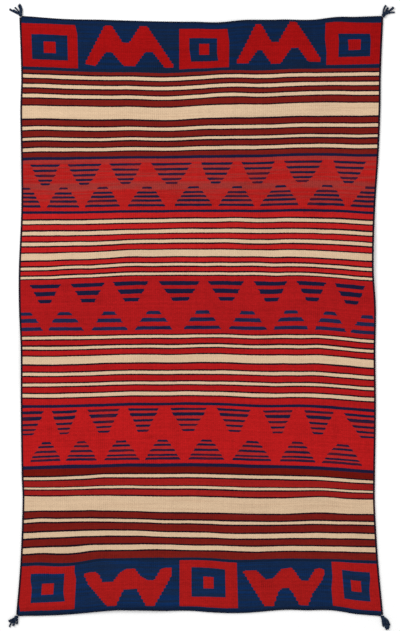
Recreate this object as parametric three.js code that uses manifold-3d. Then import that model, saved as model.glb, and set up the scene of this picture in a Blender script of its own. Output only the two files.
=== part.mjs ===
// A handwoven wool rug lying flat: one weft-faced web, the four cords that bind its edges, and the
// tassels into which the cords' ends are knotted at the corners.
// Millimetres. X runs across the web, Y along its warps and Z up. The origin is the middle of the underside.
import * as THREE from "three";
import { mergeVertices } from "three/addons/utils/BufferGeometryUtils.js";
import Module from "manifold-3d";

// Driving dimensions
const WEB_THICKNESS = 2.5;
const CORD_DIAMETER = 3;
const CLEARANCE = 0.3; // left between two pieces that touch
const CORD_REST = 0.05; // under a cord, whose section tilts a little over the ripples
const KNOT_RADIUS = 5; // seen from above
const KNOT_HEIGHT = 5.8;
const YARN_HEIGHT = 3;
const TIP_SHARE = 0.5; // a yarn's thickness at its tip, as a share of that at its root

// How finely each form is divided
const WEB_COLUMNS = 34;
const WEB_ROWS = 50;
const CORD_SIDES = 8;
const CORD_STEPS = 56;
const KNOT_SEGMENTS = 12;
const KNOT_RINGS = 8;
const YARN_STEPS = 8;

// The web's outline and the bow of its wefts, from the foot to the head. A handwoven weft isn't straight:
// `along` is its place on the middle warp, `left` and `right` are where it turns at the two selvages, and
// each rise is how far it stands nearer the head there, and at the quarters, than on the middle warp.
const SECTIONS = [
  { along: -646, left: -399, right: 402, riseLeft: -10, riseInLeft: 2.5, riseInRight: 4, riseRight: -10 },
  { along: -534, left: -390, right: 391, riseLeft: -11, riseInLeft: 0, riseInRight: 0, riseRight: -5 },
  { along: -412, left: -385, right: 384, riseLeft: 3, riseInLeft: 3, riseInRight: -3, riseRight: -4 },
  { along: -339, left: -387, right: 384, riseLeft: -7, riseInLeft: -1, riseInRight: -4, riseRight: -15 },
  { along: -190, left: -389, right: 386, riseLeft: -5, riseInLeft: -3, riseInRight: -5, riseRight: -14 },
  { along: -67, left: -389, right: 385, riseLeft: -5, riseInLeft: -2, riseInRight: -1, riseRight: -12 },
  { along: 30, left: -393, right: 386, riseLeft: -7, riseInLeft: -3, riseInRight: -1, riseRight: -12 },
  { along: 118, left: -393, right: 381, riseLeft: -10, riseInLeft: -5, riseInRight: -1, riseRight: -11 },
  { along: 234, left: -388, right: 384, riseLeft: -3, riseInLeft: -1, riseInRight: 1, riseRight: -4 },
  { along: 353, left: -388, right: 392, riseLeft: -6, riseInLeft: -2, riseInRight: 3, riseRight: 3 },
  { along: 452, left: -390, right: 396, riseLeft: -1, riseInLeft: -3, riseInRight: 3, riseRight: 6 },
  { along: 527, left: -388, right: 397, riseLeft: 4, riseInLeft: -2, riseInRight: 4, riseRight: 8 },
  { along: 645, left: -392, right: 402, riseLeft: 13, riseInLeft: 4, riseInRight: 6, riseRight: 13 },
];

// Where the wefts sway from that bow, which leaves the two ends uneven too. Each row is an oval round
// `across` (from the left selvage) and `along`, whose middle moves by `rise` towards the head.
const SWAYS = [
  { across: 95, along: 650, halfWidth: 90, halfLength: 60, rise: -2 },
  { across: 490, along: 650, halfWidth: 70, halfLength: 60, rise: 2 },
  { across: 440, along: 650, halfWidth: 60, halfLength: 60, rise: -2 },
  { across: 640, along: 650, halfWidth: 70, halfLength: 50, rise: -3 },
  { across: 690, along: 650, halfWidth: 50, halfLength: 50, rise: 1.8 },
  { across: 323, along: 465, halfWidth: 100, halfLength: 150, rise: -3.5 },
  { across: 455, along: 515, halfWidth: 70, halfLength: 90, rise: 2.5 },
  { across: 650, along: 165, halfWidth: 90, halfLength: 110, rise: -2.2 },
  { across: 120, along: 190, halfWidth: 190, halfLength: 110, rise: -2 },
  { across: 255, along: 110, halfWidth: 150, halfLength: 80, rise: 4 },
  { across: 515, along: 105, halfWidth: 60, halfLength: 60, rise: 2.6 },
  { across: 515, along: -60, halfWidth: 85, halfLength: 600, rise: -2.2 },
  { across: 655, along: 60, halfWidth: 110, halfLength: 600, rise: 3 },
  { across: 90, along: -65, halfWidth: 120, halfLength: 100, rise: -2 },
  { across: 606, along: -75, halfWidth: 50, halfLength: 80, rise: -2.6 },
  { across: 230, along: -150, halfWidth: 110, halfLength: 90, rise: 2 },
  { across: 90, along: -350, halfWidth: 130, halfLength: 80, rise: -2.2 },
  { across: 645, along: -420, halfWidth: 90, halfLength: 90, rise: 2.6 },
  { across: 100, along: -465, halfWidth: 240, halfLength: 80, rise: 3.2 },
  { across: 520, along: -520, halfWidth: 90, halfLength: 110, rise: -2 },
  { across: 110, along: -650, halfWidth: 120, halfLength: 60, rise: -4.5 },
  { across: 368, along: -650, halfWidth: 55, halfLength: 50, rise: 1.8 },
  { across: 495, along: -650, halfWidth: 110, halfLength: 60, rise: -5.6 },
  { across: 690, along: -650, halfWidth: 60, halfLength: 60, rise: 3.8 },
];

// Low ripples where the web doesn't quite lie down. Each is an oval swell round (x, y), `lean` degrees
// clockwise from the warps, and the underside is flat on the ground everywhere else.
const RIPPLES = [
  { x: 245, y: 395, lean: 3, halfLength: 230, halfWidth: 46, height: 3.2 },
  { x: 330, y: -395, lean: -4, halfLength: 215, halfWidth: 44, height: 3.4 },
  { x: 262, y: -100, lean: 6, halfLength: 190, halfWidth: 50, height: 2.6 },
  { x: -180, y: 205, lean: -5, halfLength: 240, halfWidth: 55, height: 2.8 },
  { x: -70, y: -420, lean: 8, halfLength: 170, halfWidth: 52, height: 2.4 },
  { x: -402, y: -90, lean: 0, halfLength: 120, halfWidth: 75, height: 4 },
  { x: -398, y: 330, lean: 0, halfLength: 110, halfWidth: 70, height: 3.4 },
  { x: 396, y: 130, lean: 0, halfLength: 140, halfWidth: 80, height: 4.2 },
  { x: 40, y: 655, lean: 90, halfLength: 150, halfWidth: 60, height: 3 },
  { x: -150, y: -652, lean: 90, halfLength: 140, halfWidth: 60, height: 3.2 },
];

// Each corner's tassel. `across` and `up` are the corner's place in shares of the web, and `seat` is the
// bearing of the knot from there. Bearings are in degrees anticlockwise from +X. Each yarn leaves the knot's
// middle at `bearing` and turns by `turn` degrees over its `length`.
const TASSELS = {
  tassel_top_left: {
    across: 0,
    up: 1,
    seat: 95,
    yarns: [
      { bearing: 158, length: 27.5, turn: -10, width: 4.2 },
      { bearing: 142, length: 19.5, turn: 6, width: 3 },
      { bearing: 118, length: 21, turn: 20, width: 3.2 },
      { bearing: 88, length: 21.5, turn: 26, width: 4 },
      { bearing: 60, length: 25, turn: 78, width: 4.4 },
    ],
  },
  tassel_top_right: {
    across: 1,
    up: 1,
    seat: 45,
    yarns: [
      { bearing: 105, length: 24, turn: -58, width: 3.8 },
      { bearing: 68, length: 20.5, turn: -16, width: 3.4 },
      { bearing: 50, length: 16, turn: 4, width: 3 },
      { bearing: 35, length: 28.5, turn: 9, width: 4.4 },
      { bearing: 30, length: 26, turn: -28, width: 3.2 },
    ],
  },
  tassel_bottom_left: {
    across: 0,
    up: 0,
    seat: 246,
    yarns: [
      { bearing: 206, length: 19.5, turn: 7, width: 4.4 },
      { bearing: 212, length: 27.5, turn: 46, width: 3 },
      { bearing: 234, length: 17.5, turn: -6, width: 3 },
      { bearing: 248, length: 20.5, turn: 3, width: 4.4 },
      { bearing: 296, length: 16, turn: -50, width: 3.6 },
    ],
  },
  tassel_bottom_right: {
    across: 1,
    up: 0,
    seat: 288,
    yarns: [
      { bearing: 264, length: 21, turn: 28, width: 4.2 },
      { bearing: 283, length: 29, turn: 16, width: 4.8 },
      { bearing: 300, length: 25, turn: 2, width: 4 },
      { bearing: 324, length: 24, turn: -24, width: 3.4 },
      { bearing: 350, length: 34, turn: -114, width: 3.8 },
    ],
  },
};

const wasm = await Module();
wasm.setup();

const wool = (color) => new THREE.MeshStandardMaterial({ color, roughness: 0.95, metalness: 0 });
const RED_WOOL = wool(0xa81c1c);
const NAVY_WOOL = wool(0x1c2744);

// A smooth curve through points of the form [place, value], read at one place.
function smoothAt(points, place) {
  const last = points.length - 1;
  const slope = (i) => {
    const [before, after] = [points[Math.max(i - 1, 0)], points[Math.min(i + 1, last)]];
    return (after[1] - before[1]) / (after[0] - before[0]);
  };
  let i = 0;
  while (i < last - 1 && place > points[i + 1][0]) i += 1;
  const [start, end] = [points[i], points[i + 1]];
  const span = end[0] - start[0];
  const t = (place - start[0]) / span;
  const ease = t * t * (3 - 2 * t);
  const leave = t * (1 - t) * (1 - t) * span * slope(i);
  const arrive = t * t * (1 - t) * span * slope(i + 1);
  return start[1] + (end[1] - start[1]) * ease + leave - arrive;
}

// Where the web meets the ground at a share `across` from the left selvage and `up` from the foot.
function webPoint(across, up) {
  const foot = SECTIONS[0].along;
  const head = SECTIONS[SECTIONS.length - 1].along;
  const along = foot + (head - foot) * up;
  const column = (name) => smoothAt(SECTIONS.map((section) => [section.along, section[name]]), along);
  const rise = smoothAt(
    [
      [0, column("riseLeft")],
      [0.25, column("riseInLeft")],
      [0.5, 0],
      [0.75, column("riseInRight")],
      [1, column("riseRight")],
    ],
    across,
  );
  const left = column("left");
  const width = column("right") - left;
  return new THREE.Vector2(left + width * across, along + rise + sway(width * across, along));
}

// How far an oval swell has risen at a point `over` and `down` from its middle, as shares of its half width
// and half length: 1 in the middle, 0 at the rim and outside it.
function swell(over, down) {
  const inside = Math.max(0, 1 - over * over - down * down);
  return inside * inside;
}

function sway(across, along) {
  return SWAYS.reduce((sum, place) => {
    const over = (across - place.across) / place.halfWidth;
    const down = (along - place.along) / place.halfLength;
    return sum + place.rise * swell(over, down);
  }, 0);
}

// How far the underside stands off the ground.
function lift(x, y) {
  return RIPPLES.reduce((sum, ripple) => {
    const lean = THREE.MathUtils.degToRad(ripple.lean);
    const [dx, dy] = [x - ripple.x, y - ripple.y];
    const down = (dx * Math.sin(lean) + dy * Math.cos(lean)) / ripple.halfLength;
    const over = (dx * Math.cos(lean) - dy * Math.sin(lean)) / ripple.halfWidth;
    return sum + ripple.height * swell(over, down);
  }, 0);
}

function named(name, geometry, material) {
  geometry.computeVertexNormals();
  const mesh = new THREE.Mesh(geometry, material);
  mesh.name = name;
  return mesh;
}

// The web: a thin sheet whose two faces follow the outline, the bowed wefts and the ripples.
function makeCloth() {
  const sheet = new THREE.BoxGeometry(1, 1, WEB_THICKNESS, WEB_COLUMNS, WEB_ROWS, 1);
  const points = sheet.attributes.position;
  for (let i = 0; i < points.count; i += 1) {
    const place = webPoint(points.getX(i) + 0.5, points.getY(i) + 0.5);
    const height = points.getZ(i) + WEB_THICKNESS / 2 + lift(place.x, place.y);
    points.setXYZ(i, place.x, place.y, height);
  }
  return named("cloth", sheet, RED_WOOL);
}

// Where the middle of a tassel's knot is, just outside its corner of the web.
function knotPlace({ across, up, seat }) {
  const away = THREE.MathUtils.degToRad(seat);
  const out = KNOT_RADIUS + 2 * CLEARANCE;
  return webPoint(across, up).add(new THREE.Vector2(out * Math.cos(away), out * Math.sin(away)));
}

// A cord along one edge of the web, from the knot of the tassel `start` to that of `end`. It lies just
// outside the edge, on `side` (+1 or -1) along the X or Y axis, and ends where it meets the knots.
function makeCord(name, start, end, axis, side) {
  const radius = CORD_DIAMETER / 2;
  const run = axis === "x" ? "y" : "x";
  const edge = [];
  for (let i = 0; i <= CORD_STEPS; i += 1) {
    const share = i / CORD_STEPS;
    const across = THREE.MathUtils.lerp(start.across, end.across, share);
    const point = webPoint(across, THREE.MathUtils.lerp(start.up, end.up, share));
    point[axis] += side * (radius + CLEARANCE);
    edge.push(point);
  }
  for (const [tassel, point, inward] of [[start, edge[0], 1], [end, edge[CORD_STEPS], -1]]) {
    const knot = knotPlace(tassel);
    const aside = Math.max(0, Math.abs(knot[axis] - point[axis]) - radius);
    const reach = Math.sqrt((KNOT_RADIUS + CLEARANCE) ** 2 - aside ** 2);
    point[run] = knot[run] + inward * reach;
  }
  const height = (point) => CORD_REST + radius + lift(point.x, point.y);
  const path = new THREE.CatmullRomCurve3(
    edge.map((point) => new THREE.Vector3(point.x, point.y, height(point))),
  );
  const section = new THREE.Shape();
  const toCorner = radius / Math.cos(Math.PI / CORD_SIDES);
  for (let i = 0; i < CORD_SIDES; i += 1) {
    const turn = ((i + 0.5) / CORD_SIDES) * 2 * Math.PI;
    section[i ? "lineTo" : "moveTo"](toCorner * Math.cos(turn), toCorner * Math.sin(turn));
  }
  const options = { steps: CORD_STEPS, bevelEnabled: false, extrudePath: path };
  return named(name, new THREE.ExtrudeGeometry(section, options), NAVY_WOOL);
}

function solidFrom(geometry) {
  geometry.deleteAttribute("normal");
  geometry.deleteAttribute("uv");
  const merged = mergeVertices(geometry);
  return new wasm.Manifold(
    new wasm.Mesh({
      numProp: 3,
      vertProperties: merged.attributes.position.array,
      triVerts: new Uint32Array(merged.index.array),
    }),
  );
}

// One yarn on the ground: a four-sided strand that leaves the knot, turns as it goes and thins to its tip.
function makeYarn({ bearing, length, turn, width }) {
  const yarn = new THREE.BoxGeometry(1, 1, 1, YARN_STEPS, 1, 1);
  const points = yarn.attributes.position;
  for (let i = 0; i < points.count; i += 1) {
    const t = points.getX(i) + 0.5;
    const half = THREE.MathUtils.degToRad((turn * t) / 2);
    const chord = length * t * (half === 0 ? 1 : Math.sin(half) / half);
    const way = THREE.MathUtils.degToRad(bearing) + half;
    const thin = THREE.MathUtils.lerp(1, TIP_SHARE, t * t);
    const aside = points.getY(i) * width * thin;
    points.setXYZ(
      i,
      chord * Math.cos(way) - aside * Math.sin(way + half),
      chord * Math.sin(way) + aside * Math.cos(way + half),
      (points.getZ(i) + 0.5) * YARN_HEIGHT * thin,
    );
  }
  return solidFrom(yarn);
}

// A corner's knot and yarns as one solid, its middle at (0, 0) on the ground.
function makeTassel(name, tassel) {
  const knot = new THREE.SphereGeometry(KNOT_RADIUS, KNOT_SEGMENTS, KNOT_RINGS);
  knot.rotateX(Math.PI / 2);
  knot.scale(1, 1, KNOT_HEIGHT / (2 * KNOT_RADIUS));
  knot.translate(0, 0, KNOT_HEIGHT / 2 + CLEARANCE);
  const whole = tassel.yarns.map(makeYarn).reduce((solid, yarn) => solid.add(yarn), solidFrom(knot));
  const { vertProperties, triVerts } = whole.getMesh();
  const geometry = new THREE.BufferGeometry();
  geometry.setAttribute("position", new THREE.BufferAttribute(vertProperties, 3));
  geometry.setIndex(new THREE.BufferAttribute(triVerts, 1));
  const mesh = named(name, geometry, NAVY_WOOL);
  const place = knotPlace(tassel);
  mesh.position.set(place.x, place.y, 0);
  return mesh;
}

const rug = new THREE.Group();
rug.add(
  makeCloth(),
  makeCord("side_cord_left", TASSELS.tassel_bottom_left, TASSELS.tassel_top_left, "x", -1),
  makeCord("side_cord_right", TASSELS.tassel_bottom_right, TASSELS.tassel_top_right, "x", 1),
  makeCord("end_cord_bottom", TASSELS.tassel_bottom_left, TASSELS.tassel_bottom_right, "y", -1),
  makeCord("end_cord_top", TASSELS.tassel_top_left, TASSELS.tassel_top_right, "y", 1),
  ...Object.entries(TASSELS).map(([name, tassel]) => makeTassel(name, tassel)),
);

export default rug;
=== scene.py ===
# The looks of a handwoven wool rug that lies flat on a pale floor, seen from straight above.
# The pattern is charted in millimetres on the web itself: `across` from the left selvage and `along` from
# the web's middle towards its head, so that stripes and steps follow the bowed wefts and the warps.
import math

import bpy
import numpy as np
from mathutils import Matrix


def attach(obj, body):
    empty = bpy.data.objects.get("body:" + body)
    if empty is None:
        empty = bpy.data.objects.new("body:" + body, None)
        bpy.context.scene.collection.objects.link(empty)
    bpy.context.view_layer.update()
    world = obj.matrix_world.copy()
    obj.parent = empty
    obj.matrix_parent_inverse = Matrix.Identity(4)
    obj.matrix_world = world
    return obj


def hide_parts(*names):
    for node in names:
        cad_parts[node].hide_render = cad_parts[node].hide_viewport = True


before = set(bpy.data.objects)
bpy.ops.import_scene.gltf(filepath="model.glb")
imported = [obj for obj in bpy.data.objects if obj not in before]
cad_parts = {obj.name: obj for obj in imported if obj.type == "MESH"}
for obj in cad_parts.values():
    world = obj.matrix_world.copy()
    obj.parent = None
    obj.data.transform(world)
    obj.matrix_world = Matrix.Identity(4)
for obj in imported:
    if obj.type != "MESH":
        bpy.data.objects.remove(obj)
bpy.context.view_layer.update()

MM = 0.001
SHORTEST = 1e-6  # keeps a direction's length off zero

# The photograph's frame
PHOTO_WIDTH = 400
PHOTO_HEIGHT = 631
MM_PER_PIXEL = 2.2
RUG_MIDDLE = (199, 316.5)  # the pixel over the rug's origin

# The camera and the studio, in metres and watts
CAMERA_HEIGHT = 6
SENSOR_HEIGHT = 36
FARTHEST = 100
SKY_STRENGTH = 0.72
LIGHTS = [  # name, place, size, power
    ("key", (-1.9, 1.5, 2.4), 1.6, 62),
    ("fill", (2.2, -1.2, 2.6), 2.4, 22),
]
FLOOR_SIZE = 14
FLOOR_DROP = 0.0004  # how far under the rug the floor lies
FLOOR_GREY = (0.93, 0.93, 0.93, 1)
FLOOR_ROUGHNESS = 0.9
FLOOR_GLOSS = 0.1

# The web, its cords and its knots, as they are built: see also SECTIONS, SWAYS and RIPPLES
WEB_THICKNESS = 2.5
CORD_DIAMETER = 3
CLEARANCE = 0.3
CORD_REST = 0.05  # how far the cords lie off the ground
KNOT_RADIUS = 5
KNOT_HEIGHT = 5.8
CORD_REACH = 3.5  # how near the knot's middle the cords run
WRAP = 0.35  # how much thicker the cords' plies are than their solids, towards the web

# The weave
WEB_WIDTH = 788  # over all the ribs, where the web is neither drawn in nor spread
RIBS = 180
RIB = WEB_WIDTH / RIBS
RIB_RELIEF = 0.35
BEAD = 1.3  # one weft's float over one rib, along the web
RIB_STEP = 0.4  # how much of a rib an edge of the pattern jumps at once
BEAD_STEP = 0.25  # and of a bead
PANEL_STEP = 0.8  # of a rib, in the two end panels
DOT = 4.6  # how far apart the dots of painted shade in the grooves of a slack stretch are
RIB_PROFILE = [(0, -RIB_RELIEF), (0.28, 0), (0.72, 0)]  # share of the rib, height
WEB_ROWS = 90

# The puckers of the upper face: waves that cross, each as high as its length over PUCKER_FLATNESS
PUCKERS = 14
PUCKER_LENGTHS = (34, 110)
PUCKER_FLATNESS = 2500
PUCKER_SEED = 5

# The web's outline at some places along it: its sides, and how far its wefts rise there and a quarter of
# the way in. They don't rise in the middle.
RISE_PLACES = (0, 0.25, 0.5, 0.75, 1)
SECTION_NAMES = ("along", "left", "right", "rise_left", "rise_in_left", "rise_in_right", "rise_right")
SECTIONS = [
    (-646, -399, 402, -10, 2.5, 4, -10),
    (-534, -390, 391, -11, 0, 0, -5),
    (-412, -385, 384, 3, 3, -3, -4),
    (-339, -387, 384, -7, -1, -4, -15),
    (-190, -389, 386, -5, -3, -5, -14),
    (-67, -389, 385, -5, -2, -1, -12),
    (30, -393, 386, -7, -3, -1, -12),
    (118, -393, 381, -10, -5, -1, -11),
    (234, -388, 384, -3, -1, 1, -4),
    (353, -388, 392, -6, -2, 3, 3),
    (452, -390, 396, -1, -3, 3, 6),
    (527, -388, 397, 4, -2, 4, 8),
    (645, -392, 402, 13, 4, 6, 13),
]
FOOT, HEAD = SECTIONS[0][0], SECTIONS[-1][0]

# Where the wefts sway from those curves, as ovals:
# (across, along, half width, half length, rise of the middle)
SWAYS = [
    (95, 650, 90, 60, -2),
    (490, 650, 70, 60, 2),
    (440, 650, 60, 60, -2),
    (640, 650, 70, 50, -3),
    (690, 650, 50, 50, 1.8),
    (323, 465, 100, 150, -3.5),
    (455, 515, 70, 90, 2.5),
    (650, 165, 90, 110, -2.2),
    (120, 190, 190, 110, -2),
    (255, 110, 150, 80, 4),
    (515, 105, 60, 60, 2.6),
    (515, -60, 85, 600, -2.2),
    (655, 60, 110, 600, 3),
    (90, -65, 120, 100, -2),
    (606, -75, 50, 80, -2.6),
    (230, -150, 110, 90, 2),
    (90, -350, 130, 80, -2.2),
    (645, -420, 90, 90, 2.6),
    (100, -465, 240, 80, 3.2),
    (520, -520, 90, 110, -2),
    (110, -650, 120, 60, -4.5),
    (368, -650, 55, 50, 1.8),
    (495, -650, 110, 60, -5.6),
    (690, -650, 60, 60, 3.8),
]

# The low ripples that lift the web off the ground, as ovals that lean by some degrees
RIPPLE_NAMES = ("x", "y", "lean", "half_length", "half_width", "height")
RIPPLES = [
    (245, 395, 3, 230, 46, 3.2),
    (330, -395, -4, 215, 44, 3.4),
    (262, -100, 6, 190, 50, 2.6),
    (-180, 205, -5, 240, 55, 2.8),
    (-70, -420, 8, 170, 52, 2.4),
    (-402, -90, 0, 120, 75, 4),
    (-398, 330, 0, 110, 70, 3.4),
    (396, 130, 0, 140, 80, 4.2),
    (40, 655, 90, 150, 60, 3),
    (-150, -652, 90, 140, 60, 3.2),
]

# Each corner: its shares across and up the web, the bearing of its knot from there, and its yarns as
# (bearing, length, how much it turns, width). Bearings and turns are in degrees.
TASSELS = {
    "top_left": (
        (0, 1),
        95,
        [
            (158, 27.5, -10, 4.2), (142, 19.5, 6, 3), (118, 21, 20, 3.2), (88, 21.5, 26, 4),
            (60, 25, 78, 4.4),
        ],
    ),
    "top_right": (
        (1, 1),
        45,
        [
            (105, 24, -58, 3.8), (68, 20.5, -16, 3.4), (50, 16, 4, 3), (35, 28.5, 9, 4.4),
            (30, 26, -28, 3.2),
        ],
    ),
    "bottom_left": (
        (0, 0),
        246,
        [
            (206, 19.5, 7, 4.4), (212, 27.5, 46, 3), (234, 17.5, -6, 3), (248, 20.5, 3, 4.4),
            (296, 16, -50, 3.6),
        ],
    ),
    "bottom_right": (
        (1, 0),
        288,
        [
            (264, 21, 28, 4.2), (283, 29, 16, 4.8), (300, 25, 2, 4), (324, 24, -24, 3.4),
            (350, 34, -114, 3.8),
        ],
    ),
}

# How the yarns are plied
PLY_SHARES = {2: 0.72, 3: 0.52}  # a ply's radius as a share of the yarn's, by the number of plies
PLY_TIP = 0.6  # a ply's radius at its two ends, as a share of its own
SIDE_TWIST = 8.5  # how far along a side cord its plies go round once
END_TWIST = 8.8
CORD_PLIES = 2
CORD_STEPS = 8  # in one twist
CORD_SIDES = 6
YARN_PLIES = 3
KNOT_YARN = 2.2  # the radius of the yarn that a knot is tied of
KNOT_TWIST = 8
KNOT_STEPS = 96
KNOT_SIDES = 8
TREFOIL_REACH = 3  # how far the plain curve of the knot reaches from its middle
YARN_STEPS = 29
YARN_SIDES = 7
YARN_TWISTS = (11, 15)
YARN_SWELL = 1.08  # how much thicker a yarn's plies are than its solid
YARN_REST = 0.05  # how far a yarn's tip lies off the ground
YARN_LOWEST = 0.03  # how near the ground its plies come
YARN_RISE = 1.2  # how much higher it leaves the knot
FRAY_START = 0.55  # the share of a yarn's length where its plies start to come apart
FRAY = 1.3  # how far they come apart, times the yarn's own luck
FRAY_POWER = 1.5
FRAY_LUCK = (1.2, 2.4)
TASSEL_SEED = 12

# Yarn colours, as seen (sRGB, 0 to 255), and how much darker they are than they look in the studio's light
DIM = 0.85
YARNS = {
    "panel red": (160, 14, 15),
    "foot red": (168, 25, 24),
    "stripe red": (189, 32, 31),
    "deep red": (176, 25, 26),
    "upper red": (181, 29, 27),
    "shade red": (146, 17, 15),
    "middle red": (172, 24, 26),
    "lower red": (186, 26, 27),
    "dull rose": (158, 52, 47),
    "dark red": (121, 27, 21),
    "brown red": (112, 19, 10),
    "medium red": (157, 30, 27),
    "ivory": (220, 190, 157),
    "soiled ivory": (188, 148, 118),
    "navy": (17, 34, 60),
    "blue navy": (8, 38, 80),
    "bar navy": (25, 26, 56),
    "bar blue": (32, 40, 76),
    "bar plum": (78, 22, 40),
    "line": (30, 14, 26),
    "cord navy": (13, 18, 36),
    "cord plum": (46, 10, 22),
    "tassel navy": (14, 28, 52),
    "tassel pale": (44, 58, 78),
}

# The wool's surface
ROUGHNESS = 0.95
GLOSS = 0.03
WEB_SHEEN = 0.015
YARN_SHEEN = 0.04
SHEEN_ROUGHNESS = 0.6
BUMP = 0.7
CORD_TONES = 2.4  # how long a stretch of one tone is in a cord
TASSEL_TONES = 0.5
NOISE_GAIN = 4  # makes Blender's noise go about from -1 to 1
MIX_INPUTS = (0, 6, 7)  # a mix node's share and its two colours
MIX_OUTPUT = 2

# Soft unevenness: how wide and how long its swells are, its seed, its detail and its strength. The first
# three strengths are millimetres along the web, those of the reliefs are of height, and the rest are shares
# of the brightness.
SWELLS = {
    "sag": (85, 120, 3, 2, 0.6),
    "beat": (70, 9, 7, 2, 0.4),
    "fine beat": (18, 6, 9, 2, 0.15),
    "streaks": (230, 4.5, 11, 3, 0.06),
    "clouds": (210, 90, 13, 2, 0.04),
    "fibre relief": (0.7, 0.35, 29, 3, 0.06),
    "ply tones": (1, 1, 43, 3, 0.12),
    "cord tones": (60, 60, 47, 2, 0.08),
    "cord relief": (0.4, 0.4, 59, 3, 0.08),
}

# Soft patches, of the same kind: the same four numbers, then the noise at which a patch starts, the noise at
# which it is full, and its share there
PATCHES = {
    "blue navy": (130, 5, 33, 1, -0.7, 0.9, 1),
    "shade red": (140, 4.2, 45, 2, 0.1, 1.1, 0.6),
    "dull middle": (70, 8, 37, 2, -1, 0.1, 1),
    "dull foot": (170, 4.2, 41, 2, -0.2, 0.7, 0.75),
    "soil": (150, 3.4, 15, 2, -0.2, 1.5, 0.5),
    "slack": (40, 30, 23, 2, 0, 1.6, 1),
    "second dye": (12, 12, 53, 2, -0.6, 0.9, 1),
}

# Chance differences from rib to rib or bead to bead: the seed and the strength
DIFFERENCES = {
    "rib shift": (5, 0.2),
    "bead tone": (17, 0.05),
    "rib tone": (19, 0.015),
    "bead relief": (31, 0.05),
}
RIB_TONE_DRAW = 3  # any number will do, but another gives the ribs other tones

# The painted shade between ribs and beads, a darkening of the colour as a share of its brightness, and the
# relief of the two, in millimetres
RIB_SHADE = 0.03
RIB_SHADE_POWER = 3
SLACK_SHADE = 0.1  # more painted shade between ribs where the web is slack
DOT_SHADE = 0.4  # and more painted shade again in dots along those grooves
BEAD_SHADE = 0.05
BEAD_SHADE_POWER = 4
RIB_ROUND = 1.2
BEAD_ROUND = 1.1
CONTRAST = 1.95  # how much the tones and shades above count in the darkest yarn
CONTRAST_LOSS = 1.9  # and how much less for each share of green in a lighter one
TONE_MIDDLE = 1.03

# The stripes between the bands, from the head down: where each run starts, then (yarn, width along the web)
STRIPES = {
    "upper": (
        545.5,
        [
            ("navy", 6.5), ("dark red", 8), ("ivory", 10), ("dark red", 10), ("ivory", 10),
            ("dark red", 10.5), ("ivory", 10), ("dark red", 14.5), ("ivory", 30.5), ("dark red", 14.5),
            ("ivory", 9.5), ("dark red", 14), ("ivory", 9), ("dark red", 13), ("ivory", 9.5),
            ("dark red", 11), ("bar navy", 6.5),
        ],
    ),
    "upper middle": (
        235,
        [
            ("bar navy", 5.5), ("stripe red", 12.5), ("ivory", 10), ("stripe red", 13), ("ivory", 10.5),
            ("stripe red", 12), ("ivory", 10), ("stripe red", 13), ("ivory", 17.5), ("stripe red", 12),
            ("ivory", 9), ("stripe red", 11.5), ("ivory", 7), ("line", 3),
        ],
    ),
    "lower middle": (
        -37,
        [
            ("line", 3), ("ivory", 7), ("deep red", 12.5), ("ivory", 9), ("deep red", 13), ("ivory", 20),
            ("deep red", 15.5), ("ivory", 10), ("deep red", 14.5), ("ivory", 8.5), ("deep red", 13.5),
            ("ivory", 10.5), ("deep red", 14.5), ("bar navy", 6.5),
        ],
    ),
    "lower": (
        -322.5,
        [
            ("bar navy", 7), ("brown red", 15), ("ivory", 10.5), ("medium red", 17), ("ivory", 8),
            ("medium red", 15), ("ivory", 37), ("dark red", 15), ("ivory", 9.5), ("dark red", 17),
            ("ivory", 13.5), ("dark red", 15), ("ivory", 13), ("dark red", 16.5), ("navy", 6),
        ],
    ),
}
SELVAGE = 1.4  # how much of the web's edge the side cords' yarn wraps
SELVAGE_SHARE = 0.85
FOOT_NAVY = 1.3  # how much lighter the navy of the foot's panel is
LINE = 3.2  # the dark weft line between ivory and red
WIDE_IVORY = ((-430, -397), (437, 464))  # where along the web the two widest stripes are

# The duller yarn in the upper band's ground: all of it past DULL_HEAD, a strip round DULL_MIDDLE, and some
# rows past DULL_FOOT. Each pair is where it starts and where it has come in, the reach from DULL_MIDDLE.
DULL_HEAD = (338.5, 342)
DULL_HEAD_SHARE = 0.8
DULL_MIDDLE = 288
DULL_REACH = (12, 5)
DULL_FOOT = (244, 268)

# How the barred triangles are woven, in millimetres, but for what is a share, a lean or a draw
TAPER = 0.35  # how much of its thickness a bar's wide side is longer than its middle, at each end
MOST_LEAN = 0.05  # how much a triangle's middle line may lean
SIDE_WAVER = 1.4  # how much a triangle's sides waver
BAR_WAVER = 0.35  # and the long edges of its bars
WAVER_WIDTH = 20
WAVER_LENGTH = 7
BAR_SPREAD = 0.25  # how far past its thickness a bar reaches, at each long edge
LUCK_WIDTH = 70
LUCK_LENGTH = 9
ODD_YARN = (-0.3, 0.9)  # the luck from which the second yarn shows in a bar, and at which it is all of it
SIDE_DRAW = 3.7  # how far apart in the noise two neighbouring triangles take their wavers
LUCK_DRAW = 5.3  # and their luck

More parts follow.
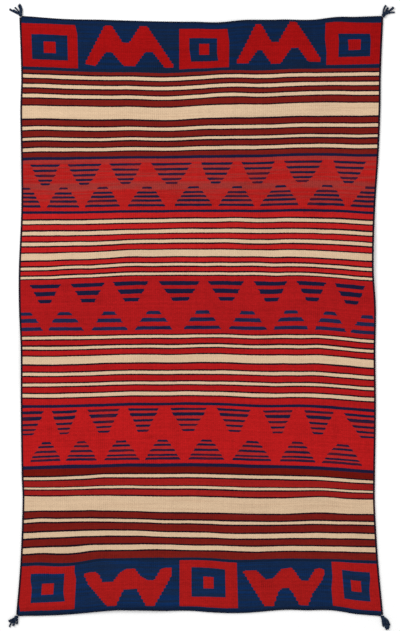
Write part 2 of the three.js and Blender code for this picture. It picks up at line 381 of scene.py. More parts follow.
# The three bands of barred triangles. `dull` is the share of dull rose in the ground between a triangle's
# bars, and `end` is the radius of the bars' ends. A row of triangles has two yarns for its bars, its
# triangles as (middle across, width as a share), of which some lie past the selvages, and its bars as
# (along, half width, thickness).
BANDS = {
    "upper": {
        "ground": "upper red",
        "dull": 0.7,
        "end": 2,
        "rows": [
            (
                ("bar navy", "bar plum"),
                [
                    (-50, 1), (50, 0.87), (138, 1), (229, 0.97), (331, 1.2), (432, 0.97), (524, 1),
                    (625, 1.15), (728, 1), (830, 1),
                ],
                [
                    (336, 36, 4.8), (324.6, 31, 4.8), (313.5, 25, 4.6), (302.7, 18.5, 4.6),
                    (294.5, 11.5, 4.4),
                ],
            ),
            (
                ("bar navy", "bar plum"),
                [
                    (7, 0.88), (91, 0.88), (179, 0.95), (278, 1), (382, 1.02), (480, 0.98), (577, 1.06),
                    (681, 1.04), (777, 1.03),
                ],
                [
                    (284.2, 11.5, 4.2), (273.4, 22, 4.4), (264.7, 28, 4.6), (255.7, 35, 4.8),
                    (245.4, 40.5, 5),
                ],
            ),
        ],
    },
    "middle": {
        "ground": "middle red",
        "dull": 0,
        "end": 1,
        "rows": [
            (
                ("bar navy", "bar navy"),
                [
                    (-50, 1), (56, 0.88), (151, 0.96), (247, 1.02), (355, 1.18), (459, 1.04), (559, 0.96),
                    (650, 0.85), (736, 0.88), (830, 1),
                ],
                [(73.6, 36, 8.4), (56.4, 27, 9.8), (38.9, 16.5, 8)],
            ),
            (
                ("bar blue", "bar navy"),
                [
                    (12, 0.86), (98, 0.97), (197, 0.97), (296, 1), (405, 1.02), (505, 1.05), (602, 0.96),
                    (689, 0.86), (772, 0.88),
                ],
                [(9.9, 15, 7.4), (-6.2, 28, 8.4), (-24, 39, 7.2)],
            ),
        ],
    },
    "lower": {
        "ground": "lower red",
        "dull": 0.35,
        "end": 2,
        "rows": [
            (
                ("bar navy", "bar plum"),
                [
                    (14.5, 0.95), (94.5, 0.81), (182, 1.04), (271, 0.98), (372, 1.18), (473, 1.08),
                    (572, 0.94), (664, 0.94), (774.5, 1.55),
                ],
                [
                    (-203.5, 34, 4.8), (-214.5, 29.5, 6.6), (-227.1, 22.5, 4.8), (-238.7, 17, 4.4),
                    (-249.8, 12.5, 4.2),
                ],
            ),
            (
                ("bar navy", "bar plum"),
                [
                    (-50, 1), (53, 0.87), (132, 0.86), (221, 1), (314, 1), (412, 1.03), (515, 1.12),
                    (616, 1.03), (718, 1.14), (830, 1),
                ],
                [
                    (-272.7, 12.5, 4.4), (-281.7, 20, 4.4), (-293.1, 28, 4.8), (-303.9, 34, 4),
                    (-311.8, 38.5, 4.8),
                ],
            ),
        ],
    },
}

# The nested squares: the middle across, how much the sides lean, then the outer, the inner and the core
# square as (half width, foot, head)
HEAD_SQUARES = [
    (61, 0.045, (61, 545, 636), (39, 560.5, 613), (14, 574.5, 598)),
    (400, 0.03, (54, 543, 632), (30.5, 560.5, 612), (10.5, 575.5, 599.5)),
    (729.5, 0.03, (62, 547, 637.5), (35, 563.5, 613), (13.5, 578, 600)),
]
FOOT_SQUARES = [
    (61, 0.045, (60.5, -638, -539), (36.5, -621, -556), (13.5, -604.5, -579.5)),
    (414.5, 0, (62.5, -638.5, -538), (36.5, -616.5, -554.5), (12, -599, -574.5)),
    (738.5, -0.035, (53.5, -638, -538.5), (29.5, -618, -556), (11.5, -598.5, -575)),
]

# The zigzags, as an upper and a lower edge: (across, along)
HEAD_ZIGZAGS = [
    (
        [
            (138, 556), (183, 636), (198, 636), (222, 600.5), (236, 600.5), (260, 637), (276, 637),
            (332, 556),
        ],
        [
            (138, 555.5), (161, 551.5), (184, 580.5), (198, 580.5), (224, 552), (248, 551.5), (271, 582.5),
            (287, 582.5), (314, 550), (332, 550),
        ],
    ),
    (
        [
            (471, 556), (513, 638.5), (525, 638.5), (548, 600), (563, 600), (588, 644), (601, 644),
            (656, 562),
        ],
        [
            (471, 554), (497, 554), (518, 583), (527, 583), (549, 552.5), (569, 552.5), (592, 585.5),
            (607, 585.5), (630, 554.5), (656, 553.5),
        ],
    ),
]
FOOT_ZIGZAGS = [
    (
        [
            (139, -562), (150, -560), (165, -561), (173, -568), (181, -584.5), (204, -584), (218, -565),
            (232, -556), (251, -555), (264, -572), (279, -581), (294, -582), (309, -557), (318, -554),
            (333, -554),
        ],
        [
            (139, -564), (150, -588), (193, -638), (212, -638.5), (228, -602), (256, -600), (278, -638.5),
            (295, -638.5), (331, -574), (333, -557),
        ],
    ),
    (
        [
            (491, -558), (497, -556), (520, -557), (540, -579), (555, -577.5), (576, -555.5), (597, -552.5),
            (605, -561), (617, -581), (632, -582), (650, -555), (660, -553), (669, -557),
        ],
        [
            (491, -560), (511, -598), (535, -637.5), (554, -639.5), (567, -607), (575, -600), (589, -599),
            (597, -609), (611, -637.5), (629, -638), (641, -609), (667, -575), (669, -561),
        ],
    ),
]

# Where the pattern drifts along the cloth, because the weft is packed more or less closely there, as ovals:
# (across, along, half width, half length, how far the middle drifts towards the head)
DRIFTS = [
    (0, 636, 70, 45, -3),
    (788, 636, 110, 50, -4),
    (675, 482, 80, 40, 1.6),
    (600, 450, 60, 160, 1.4),
    (40, 400, 70, 70, 2),
    (175, 400, 70, 70, -1.2),
    (480, 211, 50, 30, 1.6),
    (540, 160, 90, 30, -1.2),
    (110, 112, 50, 50, 1.5),
    (300, 120, 70, 55, -1.5),
    (50, -5, 160, 38, 2.8),
    (70, -40, 90, 35, 1.5),
    (350, -65, 60, 50, -1.3),
    (500, -135, 80, 45, 1.4),
    (70, -178, 90, 35, -1.2),
    (790, -222, 230, 45, -3),
    (0, -230, 260, 45, -6.5),
    (70, -308, 150, 40, 2.6),
    (175, -352, 45, 30, 1.5),
    (665, -405, 100, 35, 1.9),
    (40, -451, 40, 30, 1.8),
    (735, -465, 50, 40, 1.6),
    (230, -480, 110, 30, 1.3),
    (465, -475, 60, 40, -2),
    (310, -510, 70, 35, 2),
    (105, -540, 80, 50, -6),
    (380, -562, 70, 60, 3.5),
    (475, -548, 60, 40, -3),
    (690, -560, 50, 40, 2.5),
    (765, -590, 70, 60, -3),
]


def dyed(yarn):
    """A yarn's colour as Blender's linear RGBA."""
    shares = [part / 255 for part in YARNS[yarn]]
    return [s / 12.92 if s <= 0.04045 else ((s + 0.055) / 1.055) ** 2.4 for s in shares] + [1]


# Camera and light


def make_camera():
    """A long lens straight above the rug, framed as the photograph is."""
    camera = bpy.data.cameras.new("camera")
    camera.sensor_fit = "VERTICAL"
    camera.sensor_height = SENSOR_HEIGHT
    camera.lens = SENSOR_HEIGHT * CAMERA_HEIGHT / (PHOTO_HEIGHT * MM_PER_PIXEL * MM)
    camera.clip_end = FARTHEST
    holder = bpy.data.objects.new("camera", camera)
    x = (PHOTO_WIDTH / 2 - RUG_MIDDLE[0]) * MM_PER_PIXEL * MM
    y = (RUG_MIDDLE[1] - PHOTO_HEIGHT / 2) * MM_PER_PIXEL * MM
    holder.location = (x, y, CAMERA_HEIGHT)
    bpy.context.scene.collection.objects.link(holder)
    bpy.context.scene.camera = holder


def make_lights():
    """A white sky and two soft lights that look at the rug's middle."""
    world = bpy.data.worlds.new("studio")
    bpy.context.scene.world = world
    world.use_nodes = True
    background = world.node_tree.nodes["Background"]
    background.inputs["Color"].default_value = (1, 1, 1, 1)
    background.inputs["Strength"].default_value = SKY_STRENGTH
    for name, place, size, power in LIGHTS:
        light = bpy.data.lights.new(name, "AREA")
        light.size = size
        light.energy = power
        holder = bpy.data.objects.new(name, light)
        holder.location = place
        x, y, z = place
        holder.rotation_euler = (0, math.atan2(math.hypot(x, y), z), math.atan2(y, x))
        bpy.context.scene.collection.objects.link(holder)


def make_floor():
    """The pale floor of the studio, just under the rug."""
    bpy.ops.mesh.primitive_plane_add(size=FLOOR_SIZE, location=(0, 0, -FLOOR_DROP))
    floor = bpy.context.object
    floor.name = "floor"
    material = bpy.data.materials.new("pale floor")
    material.use_nodes = True
    shader = material.node_tree.nodes["Principled BSDF"]
    shader.inputs["Base Color"].default_value = FLOOR_GREY
    shader.inputs["Roughness"].default_value = FLOOR_ROUGHNESS
    shader.inputs["Specular IOR Level"].default_value = FLOOR_GLOSS
    floor.data.materials.append(material)


# Material nodes


class Field:
    """A number that varies over a surface. Arithmetic on it adds nodes to its material."""

    def __init__(self, tree, socket):
        self.tree = tree
        self.socket = socket

    def math(self, operation, *others):
        node = self.tree.nodes.new("ShaderNodeMath")
        node.operation = operation
        for socket, value in zip(node.inputs, (self, *others)):
            connect(self.tree, value, socket)
        return Field(self.tree, node.outputs[0])

    def __add__(self, other):
        return self.math("ADD", other)

    def __sub__(self, other):
        return self.math("SUBTRACT", other)

    def __mul__(self, other):
        return self.math("MULTIPLY", other)

    def __truediv__(self, other):
        return self.math("DIVIDE", other)

    def __abs__(self):
        return self.math("ABSOLUTE")

    def __lt__(self, other):
        return self.math("LESS_THAN", other)

    def __gt__(self, other):
        return self.math("GREATER_THAN", other)

    def floor(self):
        return self.math("FLOOR")

    def fraction(self):
        return self.math("FRACT")

    def within(self, low, high):
        return (self > low) * (self < high)

    def smooth(self, low, high):
        """0 below `low`, 1 above `high` and a smooth step between."""
        node = self.tree.nodes.new("ShaderNodeMapRange")
        node.interpolation_type = "SMOOTHSTEP"
        connect(self.tree, self, node.inputs["Value"])
        node.inputs["From Min"].default_value = low
        node.inputs["From Max"].default_value = high
        return Field(self.tree, node.outputs["Result"])

    def ramp(self, stops, low, high, interpolation):
        """The ramp's colour socket for this number, its stops given between `low` and `high`."""
        node = self.tree.nodes.new("ShaderNodeValToRGB")
        node.color_ramp.interpolation = interpolation
        elements = node.color_ramp.elements
        while len(elements) > 1:
            elements.remove(elements[-1])
        for i, (place, color) in enumerate(stops):
            share = (place - low) / (high - low)
            element = elements[0] if i == 0 else elements.new(share)
            element.position = share
            element.color = color
        connect(self.tree, (self - low) / (high - low), node.inputs["Fac"])
        return node.outputs["Color"]

    def pick(self, values):
        """The value for each whole number, from 0 on."""
        low, span = min(values), max(values) - min(values)
        grey = [(i - 0.5, [(value - low) / span] * 3 + [1]) for i, value in enumerate(values)]
        share = Field(self.tree, self.ramp(grey, -0.5, len(values), "CONSTANT"))
        return share * span + low

    def along_edge(self, points):
        """The height of an edge of straight runs through (place, height) points."""
        lowest = min(height for _, height in points)
        span = max(height for _, height in points) - lowest
        grey = [(place, [(height - lowest) / span] * 3 + [1]) for place, height in points]
        level = Field(self.tree, self.ramp(grey, points[0][0], points[-1][0], "LINEAR"))
        return level * span + lowest


def connect(tree, value, socket):
    """Links a field or a node's socket, or sets a plain number or colour."""
    if isinstance(value, Field):
        tree.links.new(value.socket, socket)
    elif isinstance(value, bpy.types.NodeSocket):
        tree.links.new(value, socket)
    else:
        socket.default_value = value


def at(tree, x, y, seed):
    """A point for a texture, at two fields and a fixed depth that makes each texture its own."""
    node = tree.nodes.new("ShaderNodeCombineXYZ")
    for socket, value in zip(node.inputs, (x, y, seed)):
        connect(tree, value, socket)
    return node.outputs[0]


def noise(tree, x, y, seed, detail=2):
    """Smooth noise round 0, mostly from -1 to 1, about one swell for each unit of x and y."""
    node = tree.nodes.new("ShaderNodeTexNoise")
    node.inputs["Scale"].default_value = 1
    node.inputs["Detail"].default_value = detail
    tree.links.new(at(tree, x, y, seed), node.inputs["Vector"])
    return (Field(tree, node.outputs["Fac"]) - 0.5) * NOISE_GAIN


def swells(tree, name, x, y):
    """One kind of soft unevenness, as SWELLS gives it."""
    wide, long, seed, detail, strength = SWELLS[name]
    return noise(tree, x / wide, y / long, seed, detail) * strength


def patches(tree, name, x, y):
    """One kind of soft patches, as PATCHES gives it: 0 outside them."""
    wide, long, seed, detail, start, full, share = PATCHES[name]
    return noise(tree, x / wide, y / long, seed, detail).smooth(start, full) * share


def chance(tree, x, y, seed):
    """A random number from -1 to 1 for each whole x and y."""
    node = tree.nodes.new("ShaderNodeTexWhiteNoise")
    node.noise_dimensions = "3D"
    tree.links.new(at(tree, x, y, seed), node.inputs["Vector"])
    return (Field(tree, node.outputs["Value"]) - 0.5) * 2


def differences(tree, name, x, y):
    """One kind of chance difference, as DIFFERENCES gives it."""
    seed, strength = DIFFERENCES[name]
    return chance(tree, x, y, seed) * strength


def mix(tree, share, first, second):
    """The second colour over the first, by a share."""
    node = tree.nodes.new("ShaderNodeMix")
    node.data_type = "RGBA"
    for i, value in zip(MIX_INPUTS, (share, first, second)):
        connect(tree, value, node.inputs[i])
    return node.outputs[MIX_OUTPUT]


def brighten(tree, color, share):
    """The colour times a field or a number."""
    node = tree.nodes.new("ShaderNodeVectorMath")
    node.operation = "SCALE"
    tree.links.new(color, node.inputs[0])
    connect(tree, share, node.inputs["Scale"])
    return node.outputs[0]


def green(tree, color):
    """How much green is in a colour: little in the reds and navies, much in the ivories."""
    node = tree.nodes.new("ShaderNodeSeparateColor")
    tree.links.new(color, node.inputs[0])
    return Field(tree, node.outputs["Green"])


def new_wool(name, sheen):
    """A matt, faintly downy material, its nodes and its shader."""
    material = bpy.data.materials.new(name)
    material.use_nodes = True
    shader = material.node_tree.nodes["Principled BSDF"]
    shader.inputs["Roughness"].default_value = ROUGHNESS
    shader.inputs["Specular IOR Level"].default_value = GLOSS
    shader.inputs["Sheen Weight"].default_value = sheen
    shader.inputs["Sheen Roughness"].default_value = SHEEN_ROUGHNESS
    return material, material.node_tree, shader


def bump(tree, shader, height):
    """Raises the surface by a field, given in millimetres."""
    node = tree.nodes.new("ShaderNodeBump")
    node.inputs["Distance"].default_value = MM
    node.inputs["Strength"].default_value = BUMP
    connect(tree, height, node.inputs["Height"])
    tree.links.new(node.outputs["Normal"], shader.inputs["Normal"])


# The woven pattern


def stripe_color(along, start, stripes):
    """The colour of a run of stripes, with a dark line wherever ivory meets red, and where the run ends."""
    stops, place = [], 0
    for i, (yarn, width) in enumerate(stripes):
        pair = {yarn, stripes[i - 1][0]} if i > 0 else set()
        if "ivory" in pair and "line" not in pair:
            stops.append((place - LINE / 2, dyed("line")))
            stops.append((place + LINE / 2, dyed(yarn)))
        else:
            stops.append((place, dyed(yarn)))
        place += width
    return (along * -1 + start).ramp(stops, 0, place, "CONSTANT"), start - place


def triangles(tree, across, along, row, rounding):
    """A row of barred triangles: where its bars are, where its triangles are, and its bars' luck."""
    _, spots, bars = row
    head, foot = bars[0][0], bars[-1][0]
    number = (across.along_edge([(middle, i) for i, (middle, _) in enumerate(spots)]) + 0.5).floor()
    middle, size = (number.pick(values) for values in zip(*spots))
    lean = chance(tree, number, 0, head) * MOST_LEAN
    aside = abs(across - middle + (along - head) * lean)
    narrows = TAPER if bars[0][1] > bars[-1][1] else -TAPER
    sides = [
        (place + end * thickness / 2, half_width + end * narrows * thickness)
        for place, half_width, thickness in reversed(bars)
        for end in (-1, 1)
    ]
    side_waver = noise(tree, number * SIDE_DRAW, along / WAVER_LENGTH, head) * SIDE_WAVER
    half = along.along_edge(sides) * size + side_waver
    off = None
    for place, _, thickness in bars:
        gap = abs(along - place) - thickness / 2
        off = gap if off is None else off.math("MINIMUM", gap)
    off = off + noise(tree, across / WAVER_WIDTH, along / WAVER_LENGTH, foot) * BAR_WAVER - BAR_SPREAD
    out = (aside - half + rounding).math("MAXIMUM", 0)
    over = (off + rounding).math("MAXIMUM", 0)
    bar = out * out + over * over < rounding * rounding
    inside = (aside < half) * along.within(foot, head)
    return bar, inside, noise(tree, number * LUCK_DRAW + across / LUCK_WIDTH, along / LUCK_LENGTH, foot)


def panel_motif(across, along, squares, zigzags):
    """Where an end panel's squares and zigzags are red."""
    red = None
    for middle, lean, outer, inner, core in squares:
        aside = abs(across - middle + (along - sum(outer[1:]) / 2) * lean)
        inside = [(aside < half) * along.within(foot, head) for half, foot, head in (outer, inner, core)]
        ring = inside[0] - inside[1] + inside[2]
        red = ring if red is None else red.math("MAXIMUM", ring)
    for upper, lower in zigzags:
        inside = across.within(upper[0][0], upper[-1][0]) * (along < across.along_edge(upper))
        red = red.math("MAXIMUM", inside * (along > across.along_edge(lower)))
    return red


def band_color(tree, across, along, band, ground):
    """A band's colour: its ground with its rows of barred triangles."""
    color = ground
    for row in band["rows"]:
        yarn, odd_yarn = (dyed(name) for name in row[0])
        bar, inside, luck = triangles(tree, across, along, row, band["end"])
        color = mix(tree, inside * band["dull"], color, dyed("dull rose"))
        color = mix(tree, bar, color, mix(tree, luck.smooth(*ODD_YARN), yarn, odd_yarn))
    return color


def web_material():
    """The web's wool, coloured by the pattern, by each bead's own tone and by painted shade between its ribs
    and beads.
    """
    material, tree, shader = new_wool("weft-faced wool", WEB_SHEEN)
    uv = tree.nodes.new("ShaderNodeUVMap")
    uv.uv_map = "Weave"
    split = tree.nodes.new("ShaderNodeSeparateXYZ")
    tree.links.new(uv.outputs["UV"], split.inputs[0])
    across = Field(tree, split.outputs[0]) / MM
    along = Field(tree, split.outputs[1]) / MM

    # Ribs and beads: neighbouring ribs are half a bead apart
    rib = (across / RIB).floor()
    on_rib = (across / RIB).fraction() - 0.5
    odd = (rib / 2).fraction() * 2
    bead_place = (along + odd * (BEAD / 2) + differences(tree, "rib shift", rib, 0)) / BEAD
    bead = bead_place.floor()
    on_bead = bead_place.fraction() - 0.5

    color = pattern_color(tree, across, along, on_rib, on_bead)

    # Dye and painted shade: streaks along the wefts, a tone for each bead, and shade between the ribs and
    # beads painted into the colour
    own_tone = differences(tree, "bead tone", rib, bead)
    own_tone = own_tone + differences(tree, "rib tone", rib, RIB_TONE_DRAW)
    # painted shade in the grooves between ribs and beads, taken off the tone
    dark = shade(tree, across, along, odd, on_rib, on_bead)
    tone = swells(tree, "streaks", across, along) + own_tone - dark
    contrast = green(tree, color) * -CONTRAST_LOSS + CONTRAST
    clouds = swells(tree, "clouds", across, along)
    color = brighten(tree, color, (tone * contrast + clouds + TONE_MIDDLE) * DIM)
    selvage = (abs(across - WEB_WIDTH / 2) > WEB_WIDTH / 2 - SELVAGE) * SELVAGE_SHARE
    color = mix(tree, selvage, color, dyed("cord navy"))
    tree.links.new(color, shader.inputs["Base Color"])

    # Relief: rounded ribs and beads with fibres on them
    rounded = (on_bead * on_bead) * -BEAD_ROUND + (on_rib * on_rib) * -RIB_ROUND
    fibre = swells(tree, "fibre relief", across, along)
    bump(tree, shader, rounded + fibre + differences(tree, "bead relief", rib, bead))
    return material


def pattern_color(tree, across, along, on_rib, on_bead):
    """The colour of the woven pattern, its edges stepped with the ribs and beads, and of the soil on it."""
    chart_across = across - on_rib * (RIB * RIB_STEP)
    panel_across = across - on_rib * (RIB * PANEL_STEP)
    beat = swells(tree, "beat", across, along) + swells(tree, "fine beat", across, along)
    chart_along = along - on_bead * (BEAD * BEAD_STEP) + swells(tree, "sag", across, along) + beat

    # The ground and motifs below each run of stripes, and those of the panel at the head
    navy = mix(tree, patches(tree, "blue navy", across, along), dyed("navy"), dyed("blue navy"))
    below = []
    for name, band in BANDS.items():
        ground = dyed(band["ground"])
        if name == "upper":
            ground = mix(tree, patches(tree, "shade red", across, along), ground, dyed("shade red"))
            ground = mix(tree, dull_rows(tree, across, chart_along), ground, dyed("dull rose"))
        below.append(band_color(tree, chart_across, chart_along, band, ground))
    foot_motif = panel_motif(panel_across, chart_along, FOOT_SQUARES, FOOT_ZIGZAGS)
    below.append(mix(tree, foot_motif, brighten(tree, navy, FOOT_NAVY), dyed("foot red")))
    head_motif = panel_motif(panel_across, chart_along, HEAD_SQUARES, HEAD_ZIGZAGS)
    color = mix(tree, head_motif, navy, dyed("panel red"))

    for (start, stripes), next_color in zip(STRIPES.values(), below):
        striped, end = stripe_color(chart_along, start, stripes)
        color = mix(tree, chart_along < start, color, striped)
        color = mix(tree, chart_along < end, color, next_color)
    soil = patches(tree, "soil", across, along)
    for low, high in WIDE_IVORY:
        color = mix(tree, soil * chart_along.within(low, high), color, dyed("soiled ivory"))
    return color


def shade(tree, across, along, odd, on_rib, on_bead):
    """How much painted shade darkens the colour between the ribs, most where the web is slack, and between
    the beads.
    """
    between_ribs = (abs(on_rib) * 2).math("POWER", RIB_SHADE_POWER)
    between_beads = (abs(on_bead) * 2).math("POWER", BEAD_SHADE_POWER)
    # dots of painted shade along the grooves
    dots = ((along + odd * (DOT / 2)) * (2 * math.pi / DOT)).math("SINE") * 0.5 + 0.5
    slack = patches(tree, "slack", across, along) * (dots * DOT_SHADE + SLACK_SHADE)
    return between_ribs * (slack + RIB_SHADE) + between_beads * BEAD_SHADE


def dull_rows(tree, across, along):
    """How much of the upper band's ground is the duller yarn, row by row."""
    head = along.smooth(*DULL_HEAD) * DULL_HEAD_SHARE
    middle = abs(along - DULL_MIDDLE).smooth(*DULL_REACH) * patches(tree, "dull middle", across, along)
    foot = patches(tree, "dull foot", across, along) * along.smooth(*DULL_FOOT)
    return head.math("MAXIMUM", middle).math("MAXIMUM", foot)


def cord_material(name, yarn, other_yarn, tones):
    """Plied yarn of a colour that turns to another in places, with fibres."""
    material, tree, shader = new_wool(name, YARN_SHEEN)
    place = tree.nodes.new("ShaderNodeTexCoord")
    split = tree.nodes.new("ShaderNodeSeparateXYZ")
    tree.links.new(place.outputs["Object"], split.inputs[0])
    x, y = (Field(tree, split.outputs[i]) / MM for i in (0, 1))
    tone = swells(tree, "ply tones", x / tones, y / tones) + swells(tree, "cord tones", x, y)
    share = patches(tree, "second dye", x / tones, y / tones)
    tinted = mix(tree, share, dyed(yarn), dyed(other_yarn))
    tree.links.new(brighten(tree, tinted, (tone + 1) * DIM), shader.inputs["Base Color"])
    bump(tree, shader, swells(tree, "cord relief", x, y))
    return material


# The web's form


def smooth_at(points, places):
    """A smooth curve through (place, value) points, read at an array of places."""
    known = np.array([p[0] for p in points], float)
    values = [np.asarray(p[1], float) for p in points]
    last = len(points) - 1
    slopes = []
    for i in range(last + 1):
        before, after = max(i - 1, 0), min(i + 1, last)
        slopes.append((values[after] - values[before]) / (known[after] - known[before]))
    result = np.zeros(np.broadcast(places, values[0]).shape)
    piece = np.clip(np.searchsorted(known, places, side="left") - 1, 0, last - 1)
    for i in range(last):
        span = known[i + 1] - known[i]
        t = (places - known[i]) / span
        ease = t * t * (3 - 2 * t)
        leave = t * (1 - t) ** 2 * span * slopes[i]
        arrive = t * t * (1 - t) * span * slopes[i + 1]
        here = values[i] + (values[i + 1] - values[i]) * ease + leave - arrive
        result = np.where(piece == i, here, result)
    return result


def web_point(across, up):
    """Where the web is over the ground, in millimetres, at shares of its width and length."""
    along = FOOT + (HEAD - FOOT) * up
    column = {
        name: smooth_at([(row[0], row[i]) for row in SECTIONS], along)
        for i, name in enumerate(SECTION_NAMES)
    }
    left = [column["rise_left"], column["rise_in_left"]]
    right = [column["rise_in_right"], column["rise_right"]]
    bow = smooth_at(list(zip(RISE_PLACES, left + [0 * along] + right)), across)
    place = (column["right"] - column["left"]) * across
    return column["left"] + place, along + bow + ovals(SWAYS, place, along)


def swell(over, down):
    """An oval swell's height, 1 in its middle and 0 at its rim, at shares of its half width and length."""
    return np.maximum(0, 1 - over**2 - down**2) ** 2


def ovals(rows, across, along):
    """The sum of oval swells, each (across, along, half width, half length, height)."""
    total = 0
    for middle_across, middle_along, half_width, half_length, height in rows:
        over = (across - middle_across) / half_width
        down = (along - middle_along) / half_length
        total = total + height * swell(over, down)
    return total


def lift(x, y):
    """How far the underside stands off the ground, in millimetres."""
    total = 0
    for row in RIPPLES:
        ripple = dict(zip(RIPPLE_NAMES, row))
        lean = math.radians(ripple["lean"])
        dx, dy = x - ripple["x"], y - ripple["y"]
        down = (dx * math.sin(lean) + dy * math.cos(lean)) / ripple["half_length"]
        over = (dx * math.cos(lean) - dy * math.sin(lean)) / ripple["half_width"]
        total = total + ripple["height"] * swell(over, down)
    return total


def puckers(x, y):
    """The height of the upper face's puckers, in millimetres."""
    random = np.random.default_rng(PUCKER_SEED)
    total = 0
    for _ in range(PUCKERS):
        turn = random.uniform(0, 2 * math.pi)
        wave = random.uniform(*PUCKER_LENGTHS)
        place = (x * math.cos(turn) + y * math.sin(turn)) / wave * 2 * math.pi
        total = total + np.sin(place + random.uniform(0, 2 * math.pi)) * wave / PUCKER_FLATNESS
    return total


def new_piece(name, points, faces, material, node):
    """A smooth mesh, its points in millimetres, that stands for a node of the frame."""
    mesh = bpy.data.meshes.new(name)
    mesh.from_pydata((np.asarray(points) * MM).tolist(), [], faces)
    mesh.polygons.foreach_set("use_smooth", [True] * len(mesh.polygons))
    mesh.materials.append(material)
    mesh.update()
    piece = bpy.data.objects.new(name, mesh)
    bpy.context.scene.collection.objects.link(piece)
    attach(piece, "root")
    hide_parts(node)
    return piece


def sheet_faces(columns, rows):
    """The faces of a sheet with an upper and then an under grid of points, row by row."""
    index = np.arange(columns * rows).reshape(rows, columns)
    quads = np.stack([index[:-1, :-1], index[:-1, 1:], index[1:, 1:], index[1:, :-1]], axis=2)
    quads = quads.reshape(-1, 4)
    rim = np.concatenate([index[0, :-1], index[:-1, -1], index[-1, :0:-1], index[:0:-1, 0]])
    turn = np.roll(rim, -1)
    deep = columns * rows
    sides = np.stack([rim, rim + deep, turn + deep, turn], axis=1)
    return np.concatenate([quads, quads[:, ::-1] + deep, sides]).tolist()


def make_web(material):
    """The web with every rib raised on both faces, and the chart's places as a UV layer in metres."""
    shares = [(rib + share) / RIBS for rib in range(RIBS) for share, _ in RIB_PROFILE] + [1]
    relief = np.array([height for _ in range(RIBS) for _, height in RIB_PROFILE] + [-RIB_RELIEF])
    ups = np.linspace(0, 1, WEB_ROWS + 1)
    across, up = np.meshgrid(shares, ups)
    x, y = web_point(across, up)
    ground = lift(x, y)
    top = np.stack([x, y, ground + WEB_THICKNESS + relief + puckers(x, y)], axis=2)
    under = np.stack([x, y, ground - relief], axis=2)
    points = np.concatenate([top.reshape(-1, 3), under.reshape(-1, 3)])
    faces = sheet_faces(len(shares), len(ups))
    web = new_piece("woven_web", points, faces, material, "cloth")

    chart_across, chart_along = across * WEB_WIDTH, FOOT + (HEAD - FOOT) * up
    chart_along = chart_along - ovals(DRIFTS, chart_across, chart_along)
    chart = np.stack([chart_across, chart_along], axis=2).reshape(-1, 2) * MM
    low, high = points[:, :2].min(axis=0), points[:, :2].max(axis=0)
    face_points = across.size
    flat = (points[:face_points, :2] - low) / (high - low)
    corner = np.zeros(len(web.data.loops), int)
    web.data.loops.foreach_get("vertex_index", corner)
    for name, values in (("OFBake", flat), ("Weave", chart)):
        layer = web.data.uv_layers.new(name=name)
        layer.data.foreach_set("uv", values[corner % face_points].ravel())
    return web


def heading(path):
    """The unit direction of a path at each of its points."""
    ahead = np.gradient(path, axis=0)
    return ahead / np.linalg.norm(ahead, axis=1, keepdims=True)


def tube(path, radii, sides):
    """The points and faces of a closed tube along a path, its radius given at each point."""
    ahead = heading(path)
    aside = np.cross(ahead, (0, 0, 1))
    aside /= np.maximum(np.linalg.norm(aside, axis=1, keepdims=True), SHORTEST)
    above = np.cross(aside, ahead)
    turns = np.arange(sides) / sides * 2 * math.pi
    ring = np.cos(turns)[None, :, None] * aside[:, None] + np.sin(turns)[None, :, None] * above[:, None]
    points = (path[:, None] + ring * radii[:, None, None]).reshape(-1, 3)
    faces = []
    for i in range(len(path) - 1):
        for j in range(sides):
            k = (j + 1) % sides
            faces.append((i * sides + j, i * sides + k, (i + 1) * sides + k, (i + 1) * sides + j))
    faces.append(tuple(range(sides))[::-1])
    faces.append(tuple((len(path) - 1) * sides + j for j in range(sides)))
    return points, faces


def joined(parts):
    """Several (points, faces) as one."""
    points, faces, count = [], [], 0
    for part_points, part_faces in parts:
        points.append(part_points)
        faces += [tuple(i + count for i in face) for face in part_faces]
        count += len(part_points)
    return np.concatenate(points), faces


def knot_place(corner):
    """Where the middle of a corner's knot is, just outside the web."""
    (across, up), seat, _ = TASSELS[corner]
    x, y = web_point(np.array(float(across)), np.array(float(up)))
    away = math.radians(seat)
    out = KNOT_RADIUS + 2 * CLEARANCE
    return np.array([x + out * math.cos(away), y + out * math.sin(away)])


def plied(path, radius, plies, twist, sides, loosen=1):
    """Plies twisted round a path: `twist` millimetres to a turn, spread out by `loosen` where they fray."""
    steps = np.linalg.norm(np.diff(path, axis=0), axis=1)
    travelled = np.concatenate([[0], np.cumsum(steps)])
    ahead = heading(path)
    aside = np.cross(ahead, (0, 0, 1))
    above = np.cross(aside, ahead)
    ply_radius = radius * PLY_SHARES[plies]
    spread = (radius - ply_radius) * loosen * np.ones(len(path))
    radii = np.full(len(path), ply_radius)
    radii[0] = radii[-1] = ply_radius * PLY_TIP
    parts = []
    for ply in range(plies):
        turn = travelled / twist * 2 * math.pi + ply / plies * 2 * math.pi
        offset = np.cos(turn)[:, None] * aside + np.sin(turn)[:, None] * above
        parts.append(tube(path + offset * spread[:, None], radii, sides))
    return joined(parts)


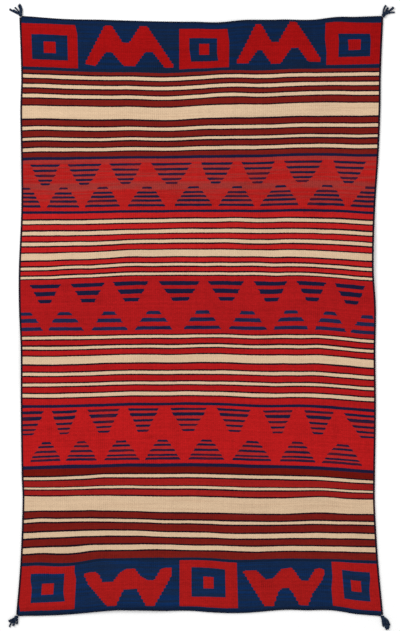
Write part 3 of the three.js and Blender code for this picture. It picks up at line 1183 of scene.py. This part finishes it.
def make_cord(name, start, end, axis, side, twist, material):
    """A twined cord along one edge of the web, between the knots of two corners.

    `axis` is the one that crosses the edge, and `side` is the way out along it."""
    radius = CORD_DIAMETER / 2
    length = (HEAD - FOOT) if axis == 0 else WEB_WIDTH
    share = np.linspace(0, 1, int(length / twist * CORD_STEPS))
    low, high = np.array(TASSELS[start][0]), np.array(TASSELS[end][0])
    across, up = (low[:, None] + (high - low)[:, None] * share).astype(float)
    edge = np.stack(web_point(across, up), axis=1)
    edge[:, axis] += side * (radius + CLEARANCE - WRAP)
    run = 1 - axis
    limits = []
    for corner, point, inward in ((start, edge[0], 1), (end, edge[-1], -1)):
        knot = knot_place(corner)
        aside = max(0, abs(knot[axis] - point[axis]) - radius)
        limits.append(knot[run] + inward * math.sqrt(max(0, CORD_REACH**2 - aside**2)))
    edge = edge[(edge[:, run] > limits[0]) & (edge[:, run] < limits[1])]
    radius += WRAP
    height = CORD_REST + radius + lift(edge[:, 0], edge[:, 1])
    points, faces = plied(np.column_stack([edge, height]), radius, CORD_PLIES, twist, CORD_SIDES)
    return new_piece(name + "_plies", points, faces, material, name)


def yarn_path(bearing, length, turn, t):
    """A yarn's places at shares `t` of its length, from the knot's middle."""
    half = np.radians(turn * t / 2)
    chord = length * t * np.sinc(half / math.pi)
    way = math.radians(bearing) + half
    return np.stack([chord * np.cos(way), chord * np.sin(way)], axis=1)


def tied_knot():
    """A corner's knot: a trefoil of plied yarn, squeezed into the knot's size."""
    t = np.linspace(0, 2 * math.pi, KNOT_STEPS + 1)
    trefoil = [np.sin(t) + 2 * np.sin(2 * t), np.cos(t) - 2 * np.cos(2 * t), -np.sin(3 * t)]
    flat_size = (KNOT_RADIUS - KNOT_YARN) / TREFOIL_REACH
    path = np.stack(trefoil, axis=1) * (flat_size, flat_size, KNOT_HEIGHT / 2 - KNOT_YARN)
    path += (0, 0, KNOT_HEIGHT / 2 + CLEARANCE)
    return plied(path, KNOT_YARN, YARN_PLIES, KNOT_TWIST, KNOT_SIDES)


def loose_yarn(random, bearing, length, turn, width):
    """A yarn that comes down from the knot to the ground, its plies coming apart at the tip."""
    t = np.linspace(0, 1, YARN_STEPS + 1)
    radius = width / 2
    height = radius + YARN_REST + YARN_RISE * (1 - t) ** 2
    path = np.column_stack([yarn_path(bearing, length, turn, t), height])
    loosen = 1 + FRAY * np.maximum(0, t - FRAY_START) ** FRAY_POWER * random.uniform(*FRAY_LUCK)
    twist = random.uniform(*YARN_TWISTS)
    points, faces = plied(path, radius * YARN_SWELL, YARN_PLIES, twist, YARN_SIDES, loosen)
    points[:, 2] = np.maximum(points[:, 2], YARN_LOWEST)
    return points, faces


def make_tassel(corner, random, material):
    """A corner's knot and its yarns."""
    yarns = [loose_yarn(random, *row) for row in TASSELS[corner][2]]
    points, faces = joined([tied_knot(), *yarns])
    points = points + (*knot_place(corner), 0)
    return new_piece("yarns_" + corner, points, faces, material, "tassel_" + corner)


make_camera()
make_lights()
make_floor()

web = make_web(web_material())
navy_cord = cord_material("navy cord", "cord navy", "cord plum", CORD_TONES)
blue_cord = cord_material("blue cord", "tassel navy", "cord navy", CORD_TONES)
navy_yarn = cord_material("navy yarn", "tassel navy", "tassel pale", TASSEL_TONES)
edges = [
    make_cord("side_cord_left", "bottom_left", "top_left", 0, -1, SIDE_TWIST, navy_cord),
    make_cord("side_cord_right", "bottom_right", "top_right", 0, 1, SIDE_TWIST, navy_cord),
    make_cord("end_cord_bottom", "bottom_left", "bottom_right", 1, -1, END_TWIST, blue_cord),
    make_cord("end_cord_top", "top_left", "top_right", 1, 1, END_TWIST, blue_cord),
]
random = np.random.default_rng(TASSEL_SEED)
tassels = [make_tassel(corner, random, navy_yarn) for corner in TASSELS]

bpy.context.scene.view_settings.view_transform = "Standard"
